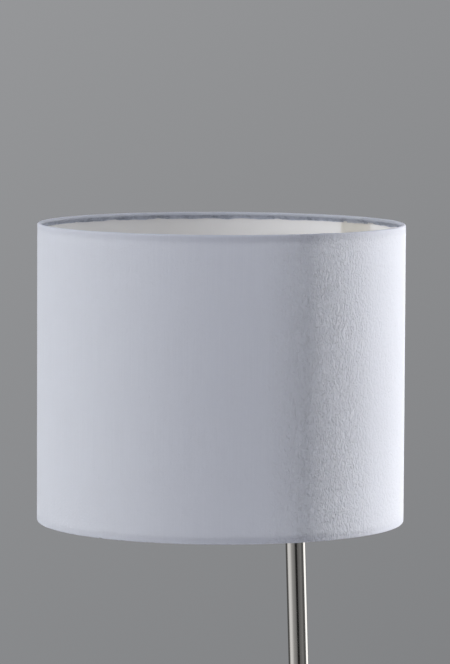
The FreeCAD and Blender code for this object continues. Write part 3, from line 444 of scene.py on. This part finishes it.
def legAxis(side):
    pivot = Vector(joints[side + "_leg_fold"]["pos_m"])
    low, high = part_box(side + "_leg_foot")
    foot = Vector(((low.x + high.x) / 2, (low.y + high.y) / 2, 0))
    return (pivot - foot).normalized()


def setFinish(material, *nodes):
    for node in nodes:
        piece = frame["nodes"][node]
        piece.data.materials.clear()
        piece.data.materials.append(material)


def dressFrame():
    setFinish(makeNickel("nickelPlate", stemAxis), "hub", "rear_leg_tube", "stem_tube", "swivel_journal",
              "swivel_barrel", "swivel_cap", "hinge_bolts", "hinge_cap_nuts")
    for side in ("right", "left"):
        setFinish(makeNickel(side + "LegNickel", legAxis(side)), side + "_leg_tube", side + "_leg_knuckle")
    setFinish(makeNickel("armNickel", Vector((0, 1, 0))), "arm_tube", "arm_tongue")
    setFinish(makeNickel("headNickel", Vector((0, 0, 1))), "head_fork", "tilt_knob", "tilt_bolt",
              "lampholder_cap", "lampholder_body", "switch_bushing")
    setFinish(makeRubber("footRubber"), "rear_foot", "right_leg_foot", "left_leg_foot",
              "cord_inlet_grommet")
    setFinish(makeOpal("opalDome"), "bulb_globe")
    for name, finish in mouldedFinishes.items():
        setFinish(makeMoulded(name), *finish["nodes"])
    print("frame dressed:", len(frame["nodes"]), "nodes")


shadeCover = {
    "thickness": 0.6 * mm, "wireRadius": 1.75 * mm, "wireGap": 0.1 * mm, "rollTurn": math.radians(225),
    "steps": 600, "wallRows": 36, "rollRows": 12, "hemRows": 8,
    "hemWidth": 8.5 * mm, "hemRadius": 223.0 * mm, "hemDrop": 4.5 * mm, "hemStart": 3 * mm,
    "hemMargin": 0.35 * mm, "hemWave": 1.3 * mm, "hemBroad": 45, "hemFine": 160, "hemFineShare": 0.5,
    "puckers": 34, "puckerDepth": 0.8 * mm, "puckerWidth": 2.6 * mm,
    "seamAngle": math.radians(80), "seamWidth": 10 * mm, "seamStep": 0.5 * mm, "seamRamp": 3 * mm,
    "sag": 0.12 * mm, "sagTurns": 3, "sagRise": 4,
    "rimRise": 0.25 * mm, "rimWaves": 30, "rimReach": 6 * mm,
    "notchWidth": 6 * mm, "notchHeight": 20 * mm, "notchMargin": 1.2 * mm, "spokeTips": 6 * mm,
    "seed": 11,
}


def coverProfile():
    # (radius, height) from the bottom hem's edge round its wire, up the wall and round the top wire
    cover = shadeCover
    half = cover["thickness"] / 2
    wall = shadeRadius - half
    turn = cover["wireRadius"] + cover["wireGap"] + half
    wireAt = wall - turn
    level = turn + half
    points = []
    for end in (-1, 1):
        part = []
        height = shadeHigh.z - level if end > 0 else shadeLow.z + level
        for i in range(cover["rollRows"] + 1):
            angle = cover["rollTurn"] * i / cover["rollRows"]
            part.append((wireAt + math.cos(angle) * turn, height + end * math.sin(angle) * turn))
        edge = (shadeHigh.z - cover["hemWidth"]) if end > 0 else (shadeLow.z + cover["hemWidth"])
        knee = (cover["hemRadius"], height - end * cover["hemDrop"])
        part.append(knee)
        for i in range(1, cover["hemRows"] + 1):
            part.append((knee[0], knee[1] + (edge - knee[1]) * i / cover["hemRows"]))
        points.append(part)
    bottom, top = points
    low, high = bottom[0][1], top[0][1]
    rows = cover["wallRows"]
    wallPoints = [(wall, low + (high - low) * i / rows) for i in range(1, rows)]
    return bottom[::-1] + wallPoints + top


def spinProfile(name, points, angle, steps, start, closed):
    # draws the profile as a chain of edges and sweeps it round the shade's axis
    deselectAll()
    bpy.ops.mesh.primitive_plane_add(size=0.01, location=(0, 0, 0))
    piece = bpy.context.object
    piece.name = name
    bpy.ops.object.mode_set(mode="EDIT")
    bpy.ops.mesh.select_mode(type="VERT")
    bpy.ops.mesh.select_all(action="SELECT")
    bpy.ops.mesh.merge(type="CENTER")
    bpy.ops.transform.translate(value=(points[0][0], 0, points[0][1]))
    for (r0, z0), (r1, z1) in zip(points, points[1:]):
        bpy.ops.mesh.extrude_region_move(TRANSFORM_OT_translate={"value": (r1 - r0, 0, z1 - z0)})
    bpy.ops.mesh.select_all(action="SELECT")
    bpy.ops.transform.rotate(value=-start, orient_axis="Z", center_override=(0, 0, 0))
    bpy.ops.object.mode_set(mode="OBJECT")
    applyModifier(piece, "SCREW", angle=angle, steps=steps, render_steps=steps, use_merge_vertices=closed,
                  merge_threshold=sameSpot, axis="Z")
    return piece


def arcFromSeam(point):
    # metres along the girth from the seam, positive the way the seam's free edge faces
    angle = math.atan2(point.y, point.x) - shadeCover["seamAngle"]
    return ((angle + math.pi) % (2 * math.pi) - math.pi) * shadeRadius


def bell(distance, width):
    return math.exp(-(distance / width) ** 2)


def shapeCover(piece):
    # the overlap at the seam, a slightly uneven wall and rim, and a hem that waves and puckers
    cover = shadeCover
    random.seed(cover["seed"])
    girth = 2 * math.pi * shadeRadius
    gathers = [[(random.uniform(-girth / 2, girth / 2), random.uniform(0.5, 1.0) * cover["puckerDepth"],
                 random.uniform(0.6, 1.4) * cover["puckerWidth"]) for _ in range(cover["puckers"])]
               for _ in range(2)]
    for vertex in piece.data.vertices:
        point = vertex.co
        arc = arcFromSeam(point)
        outward = Vector((point.x, point.y, 0)).normalized()
        top = point.z > shadeMiddle.z
        depth = abs((shadeHigh.z if top else shadeLow.z) - point.z)
        inside = point.xy.length < cover["hemRadius"] + cover["hemMargin"] and depth > cover["hemStart"]
        shift = Vector((0, 0, 0))
        if not inside:
            lift = 0.0
            if -cover["seamWidth"] < arc <= 0:
                lift = cover["seamStep"] * min(1.0, (arc + cover["seamWidth"]) / cover["seamRamp"])
            turn = arc / shadeRadius
            around = Vector((math.cos(turn) * cover["sagTurns"], math.sin(turn) * cover["sagTurns"],
                             point.z * cover["sagRise"]))
            shift += outward * (lift + cover["sag"] * noise.noise(around))
        else:
            share = min(1.0, depth / cover["hemWidth"])
            wave = noise.noise(Vector((arc * cover["hemBroad"], 7.0 if top else 3.0, 0)))
            fine = noise.noise(Vector((arc * cover["hemFine"], 1.0 if top else 5.0, 0)))
            wave += cover["hemFineShare"] * fine
            shift.z -= (1 if top else -1) * cover["hemWave"] * wave * share
            for place, height, width in gathers[0 if top else 1]:
                if abs(arc - place) < 3 * width:
                    shift -= outward * height * bell(arc - place, width) * (0.3 + 0.7 * share)
        rise = noise.noise(Vector((arc * cover["rimWaves"], 11.0 if top else 13.0, 0)))
        shift.z += cover["rimRise"] * rise * bell(depth, cover["rimReach"])
        vertex.co = point + shift


def cutSpokeNotches(piece):
    # the bottom hem is slit where a spoke goes out to the wire
    cover = shadeCover
    spokes = frame["nodes"]["shade_spokes"].data.vertices
    tips = [v.co for v in spokes if v.co.z < shadeLow.z + cover["spokeTips"]]
    angles = sorted({round(math.degrees(math.atan2(tip.y, tip.x)) / 30) * 30 for tip in tips})
    makeActive(piece)
    bpy.ops.object.mode_set(mode="EDIT")
    bpy.ops.mesh.select_mode(type="FACE")
    bpy.ops.mesh.select_all(action="DESELECT")
    mesh = bmesh.from_edit_mesh(piece.data)
    for face in mesh.faces:
        middle = face.calc_center_median()
        if middle.z > shadeLow.z + cover["notchHeight"]:
            continue
        if middle.xy.length > cover["hemRadius"] + cover["notchMargin"]:
            continue
        for angle in map(math.radians, angles):
            side = Vector((-math.sin(angle), math.cos(angle), 0))
            ahead = Vector((math.cos(angle), math.sin(angle), 0))
            if middle.dot(ahead) > 0 and abs(middle.dot(side)) < cover["notchWidth"] / 2:
                face.select = True
    bmesh.update_edit_mesh(piece.data)
    bpy.ops.mesh.delete(type="FACE")
    bpy.ops.object.mode_set(mode="OBJECT")
    return angles


def smoothPiece(piece, degrees=40):
    makeActive(piece)
    bpy.ops.object.shade_smooth_by_angle(angle=math.radians(degrees))


def outwardFaces(piece):
    # turns a closed shell right side out if its volume comes out negative
    mesh = bmesh.new()
    mesh.from_mesh(piece.data)
    if mesh.calc_volume(signed=True) < 0:
        bmesh.ops.reverse_faces(mesh, faces=mesh.faces)
    mesh.to_mesh(piece.data)
    mesh.free()


def thicken(piece, thickness):
    applyModifier(piece, "SOLIDIFY", thickness=thickness, offset=0.0, use_even_offset=False)
    outwardFaces(piece)
    smoothPiece(piece)


def makeCover():
    cover = shadeCover
    piece = spinProfile("shadeCover", coverProfile(), 2 * math.pi, cover["steps"], cover["seamAngle"], True)
    shapeCover(piece)
    angles = cutSpokeNotches(piece)
    thicken(piece, cover["thickness"])
    piece.data.materials.append(makeFabric("coolCotton", cover["seamAngle"]))
    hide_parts("shade_fabric")
    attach(piece, "head")


shadeLining = {
    "radius": 223.95 * mm, "thickness": 0.45 * mm, "lapGap": 0.1 * mm, "edgeInset": 4.35 * mm,
    "steps": 500, "rows": 40, "lapStart": math.radians(73), "lapEnd": math.radians(87.4),
    "lapRamp": math.radians(14), "rampHaste": 1.2,
    "pillow": 0.66 * mm, "pillowWidth": 11 * mm, "pillowReach": 60 * mm, "pillowInset": 5 * mm,
}


def makeLining():
    # a strip rolled once round and past its own start, so that its end lies inside as a lap
    lining = shadeLining
    low, high = shadeLow.z + lining["edgeInset"], shadeHigh.z - lining["edgeInset"]
    rows = lining["rows"]
    points = [(lining["radius"], low + (high - low) * i / rows) for i in range(rows + 1)]
    whole = 2 * math.pi
    sweep = whole + lining["lapEnd"] - lining["lapStart"]
    piece = spinProfile("shadeLining", points, sweep, lining["steps"], lining["lapStart"], False)
    step = lining["thickness"] + lining["lapGap"]
    ramp = lining["lapRamp"]
    for index, vertex in enumerate(piece.data.vertices):
        angle = (math.atan2(vertex.co.y, vertex.co.x) - lining["lapStart"]) % whole
        swept = (index // (rows + 1)) * sweep / lining["steps"]
        turn = angle + whole if swept > 0.95 * whole and angle < whole / 4 else angle
        inward = step * min(1.0, max(0.0, (turn - whole + ramp) / ramp * lining["rampHaste"]))
        if turn > 0.9 * whole:
            near = bell((turn - whole) * shadeRadius, lining["pillowWidth"])
            near += bell((sweep - turn) * shadeRadius - lining["pillowInset"], lining["pillowWidth"])
            inward += lining["pillow"] * near * bell(high - vertex.co.z, lining["pillowReach"])
        outward = Vector((vertex.co.x, vertex.co.y, 0)).normalized()
        vertex.co -= outward * inward
    thicken(piece, lining["thickness"])
    piece.data.materials.append(makeLiner("styreneLining", shadeCover["seamAngle"]))
    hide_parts("shade_liner")
    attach(piece, "head")
    print("lining:", len(piece.data.polygons), "faces")


footShape = {
    "sides": 72, "below": 18 * mm, "clearance": 0.03 * mm, "boreEdge": 0.3 * mm, "mouth": 1.4 * mm,
    "mouthSteps": 4, "grooves": 3, "firstGroove": 11 * mm, "groovePitch": 6 * mm,
    "grooveWidth": 2.4 * mm, "grooveDepth": 1.0 * mm,
    "treadInset": 3.2 * mm, "treadWidth": 1.6 * mm, "treadDepth": 0.9 * mm,
    "bevel": 0.25 * mm, "bevelAngle": math.radians(35),
}


def footProfile(radius, tubeEnd, top):
    # (radius, height along the leg) up the ribbed side, over the rounded mouth and down into the socket
    shape = footShape
    points = [(0, -shape["below"]), (radius, -shape["below"])]
    for i in range(shape["grooves"]):
        middle = shape["firstGroove"] + i * shape["groovePitch"]
        half, deep = shape["grooveWidth"] / 2, radius - shape["grooveDepth"]
        points += [(radius, middle - half), (deep, middle - half * 0.5), (deep, middle + half * 0.5),
                   (radius, middle + half)]
    bore = tubeRadius + shape["clearance"]
    edge = shape["mouth"]
    points.append((radius, top - edge))
    for i in range(1, shape["mouthSteps"] + 1):
        angle = math.radians(90) * i / shape["mouthSteps"]
        points.append((radius - edge + math.cos(angle) * edge, top - edge + math.sin(angle) * edge))
    lip = shape["boreEdge"]
    points += [(bore + lip, top), (bore, top - lip), (bore, tubeEnd), (0, tubeEnd)]
    return points


def cutTread(shape):
    # level with the floor, with a raised pad left inside a sunk ring
    bpy.ops.mesh.bisect(plane_co=(0, 0, 0), plane_no=(0, 0, 1), use_fill=True, clear_inner=True)
    bpy.ops.mesh.select_mode(type="FACE")
    deep = shape["treadDepth"]
    for width, rise in ((shape["treadInset"], deep), (shape["treadWidth"], -deep)):
        bpy.ops.mesh.inset(thickness=width, depth=0)
        bpy.ops.mesh.extrude_region_move(TRANSFORM_OT_translate={"value": (0, 0, rise)})
    bpy.ops.mesh.select_all(action="SELECT")
    bpy.ops.mesh.normals_make_consistent(inside=False)


def makeFoot(name, node, tube, body, axis):
    shape = footShape
    corners = [v.co for v in frame["nodes"][node].data.vertices]
    low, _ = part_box(node)
    sole = [corner for corner in corners if corner.z < low.z + 0.1 * mm]
    middle = Vector((min(c.x for c in sole) + max(c.x for c in sole), min(c.y for c in sole)
                     + max(c.y for c in sole), 0)) / 2
    radius = max(((corner - middle) - axis * (corner - middle).dot(axis)).length for corner in corners)
    top = max((corner - middle).dot(axis) for corner in corners)
    tubeEnd = min((v.co - middle).dot(axis) for v in frame["nodes"][tube].data.vertices)
    piece = spinProfile(name, footProfile(radius, tubeEnd, top), 2 * math.pi, shape["sides"], 0, True)
    piece.rotation_mode = "QUATERNION"
    piece.rotation_quaternion = Vector((0, 0, 1)).rotation_difference(axis)
    piece.location = middle
    settle(piece)
    bpy.ops.object.mode_set(mode="EDIT")
    bpy.ops.mesh.select_all(action="SELECT")
    bpy.ops.mesh.remove_doubles(threshold=sameSpot)
    bpy.ops.mesh.normals_make_consistent(inside=False)
    cutTread(shape)
    bpy.ops.object.mode_set(mode="OBJECT")
    applyModifier(piece, "BEVEL", width=shape["bevel"], segments=2, limit_method="ANGLE",
                  angle_limit=shape["bevelAngle"])
    smoothPiece(piece, 35)
    piece.data.materials.append(bpy.data.materials["footRubber"])
    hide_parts(node)
    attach(piece, body)
    print(name, "radius", round(radius / mm, 2), "height", round(top / mm, 1))


viewAzimuth = math.radians(39.6)
toCamera = Vector((math.sin(viewAzimuth), -math.cos(viewAzimuth), 0))
toRight = Vector((math.cos(viewAzimuth), math.sin(viewAzimuth), 0))
cameraSetup = {
    "pitch": math.radians(5.02), "roll": math.radians(0.275), "lens": 243.16, "sensor": 36.0,
    "distance": 24.43, "aside": -0.0213, "above": -0.2182,  # in shade radii from the shade's middle
}


def addCamera():
    setup = cameraSetup
    data = bpy.data.cameras.new("camera")
    data.lens = setup["lens"]
    data.sensor_width = setup["sensor"]
    data.clip_start, data.clip_end = 0.1, 100
    camera = bpy.data.objects.new("camera", data)
    bpy.context.collection.objects.link(camera)
    pitch = setup["pitch"]
    forward = -toCamera * math.cos(pitch) - Vector((0, 0, 1)) * math.sin(pitch)
    up = -toCamera * math.sin(pitch) + Vector((0, 0, 1)) * math.cos(pitch)
    place = shadeMiddle - shadeRadius * (
        setup["aside"] * toRight + setup["above"] * up + setup["distance"] * forward)
    turn = Matrix((toRight, up, -forward)).transposed() @ Matrix.Rotation(setup["roll"], 3, "Z")
    camera.matrix_world = Matrix.Translation(place) @ turn.to_4x4()
    bpy.context.scene.camera = camera


studioLights = {
    "leftSoftbox": {"azimuth": -89, "elevation": 0, "distance": 2.4, "size": (1.3, 2.4), "power": 34,
                    "colour": (1.0, 0.985, 0.91)},
    "backKey": {"azimuth": 112.8, "elevation": 0, "distance": 3.0, "size": (0.07, 0.6), "power": 153,
                "colour": (1.0, 0.96, 0.91)},
}


def addLights():
    for name, light in studioLights.items():
        azimuth, elevation = math.radians(light["azimuth"]), math.radians(light["elevation"])
        level = toCamera * math.cos(azimuth) + toRight * math.sin(azimuth)
        away = level * math.cos(elevation) + Vector((0, 0, 1)) * math.sin(elevation)
        data = bpy.data.lights.new(name, "AREA")
        data.shape = "RECTANGLE"
        data.size, data.size_y = light["size"]
        data.energy = light["power"]
        data.color = light["colour"]
        lamp = bpy.data.objects.new(name, data)
        bpy.context.collection.objects.link(lamp)
        lamp.location = shadeMiddle + away * light["distance"]
        lamp.rotation_mode = "QUATERNION"
        lamp.rotation_quaternion = away.to_track_quat("Z", "Y")
        lamp.visible_camera = False
        lamp.visible_glossy = False


# What the bright metal mirrors, by degrees round from the camera's side, positive to the right
studioBands = [
    (-180, 0.10), (-150, 0.07), (-116, 0.09), (-106, 0.60), (-84, 0.72), (-64, 0.56), (-50, 0.32),
    (-20, 0.2), (-11, 0.15), (-6, 0.016), (14, 0.016), (20, 0.12), (60, 0.2), (72, 0.1), (98, 0.1),
    (104, 1.3), (142, 1.3), (150, 0.12), (180, 0.10),
]
backdropTone = {
    "low": (0.233, 0.238, 0.246), "high": (0.288, 0.292, 0.301), "lowAim": -0.161, "highAim": -0.014,
    "sides": (1.05, 0.95), "across": 0.05,
}
ambientTone = {"near": (0.72, 0.706, 0.73), "right": (0.05, 0.05, 0.053), "from": 0.68, "to": 1.02}


def addWorld():
    # the camera sees a plain backdrop, gloss the bands, and the rest a soft light that fades to the right
    world = bpy.data.worlds.new("studio")
    bpy.context.scene.world = world
    world.use_nodes = True
    tree = world.node_tree
    background = tree.nodes["Background"]
    coords = tree.nodes.new("ShaderNodeTexCoord")
    turned = tree.nodes.new("ShaderNodeMapping")
    turned.inputs["Rotation"].default_value = (0, 0, -viewAzimuth)
    tree.links.new(coords.outputs["Generated"], turned.inputs["Vector"])
    split = tree.nodes.new("ShaderNodeSeparateXYZ")
    tree.links.new(turned.outputs["Vector"], split.inputs[0])
    ahead = mathNode(tree, "MULTIPLY", split.outputs["Y"], -1.0)
    angle = mathNode(tree, "ARCTAN2", split.outputs["X"], ahead)
    ramp = tree.nodes.new("ShaderNodeValToRGB")
    elements = ramp.color_ramp.elements
    for i, (degrees, level) in enumerate(studioBands):
        place = (degrees + 180) / 360
        stop = elements[i] if i < 2 else elements.new(place)
        stop.position = place
        stop.color = (level, level, level, 1)
    tree.links.new(rangeNode(tree, angle, 0.0, 1.0, -math.pi, math.pi), ramp.inputs["Fac"])
    tone = backdropTone
    height = rangeNode(tree, split.outputs["Z"], 0.0, 1.0, tone["lowAim"], tone["highAim"])
    backdrop = mixColour(tree, height, tone["low"], tone["high"])
    across = rangeNode(tree, split.outputs["X"], *tone["sides"], -tone["across"], tone["across"])
    lift = tree.nodes.new("ShaderNodeVectorMath")
    lift.operation = "SCALE"
    tree.links.new(backdrop, lift.inputs[0])
    tree.links.new(across, lift.inputs["Scale"])
    path = tree.nodes.new("ShaderNodeLightPath")
    aside = rangeNode(tree, split.outputs["X"], 0.0, 1.0, ambientTone["from"], ambientTone["to"])
    ambient = mixColour(tree, aside, ambientTone["near"], ambientTone["right"])
    mirrored = mixColour(tree, path.outputs["Is Glossy Ray"], ambient, ramp.outputs["Color"])
    shown = mixColour(tree, path.outputs["Is Camera Ray"], mirrored, lift.outputs[0])
    tree.links.new(shown, background.inputs["Color"])
    bpy.context.scene.view_settings.view_transform = "Standard"


floorSetup = {"radius": 3.3, "tone": (0.36, 0.365, 0.37), "roughness": 0.8, "fadeFrom": 1.3, "fadeTo": 3.2}


def addFloor():
    # a pale floor that fades out before its edge, and is clear from below
    deselectAll()
    bpy.ops.mesh.primitive_circle_add(vertices=96, radius=floorSetup["radius"], fill_type="NGON")
    floor = bpy.context.object
    floor.name = "floor"
    material, tree, shader = newMaterial("paleFloor")
    shader.inputs["Base Color"].default_value = (*floorSetup["tone"], 1)
    shader.inputs["Roughness"].default_value = floorSetup["roughness"]
    coords = tree.nodes.new("ShaderNodeTexCoord")
    length = tree.nodes.new("ShaderNodeVectorMath")
    length.operation = "LENGTH"
    tree.links.new(coords.outputs["Object"], length.inputs[0])
    fade = rangeNode(tree, length.outputs["Value"], 0.0, 1.0, floorSetup["fadeFrom"], floorSetup["fadeTo"])
    under = tree.nodes.new("ShaderNodeNewGeometry").outputs["Backfacing"]
    fade = mathNode(tree, "MAXIMUM", fade, under)
    clear = tree.nodes.new("ShaderNodeBsdfTransparent")
    mix = tree.nodes.new("ShaderNodeMixShader")
    tree.links.new(fade, mix.inputs["Fac"])
    tree.links.new(shader.outputs[0], mix.inputs[1])
    tree.links.new(clear.outputs[0], mix.inputs[2])
    tree.links.new(mix.outputs[0], tree.nodes["Material Output"].inputs["Surface"])
    floor.data.materials.append(material)


addCamera()
addLights()
addWorld()
addFloor()
print("studio ready")
dressFrame()
makeCover()
makeLining()
makeFoot("rearFoot", "rear_foot", "rear_leg_tube", "stand", stemAxis)
for legSide in ("right", "left"):
    leg = legSide + "_leg"
    makeFoot(legSide + "Foot", leg + "_foot", leg + "_tube", leg, legAxis(legSide))
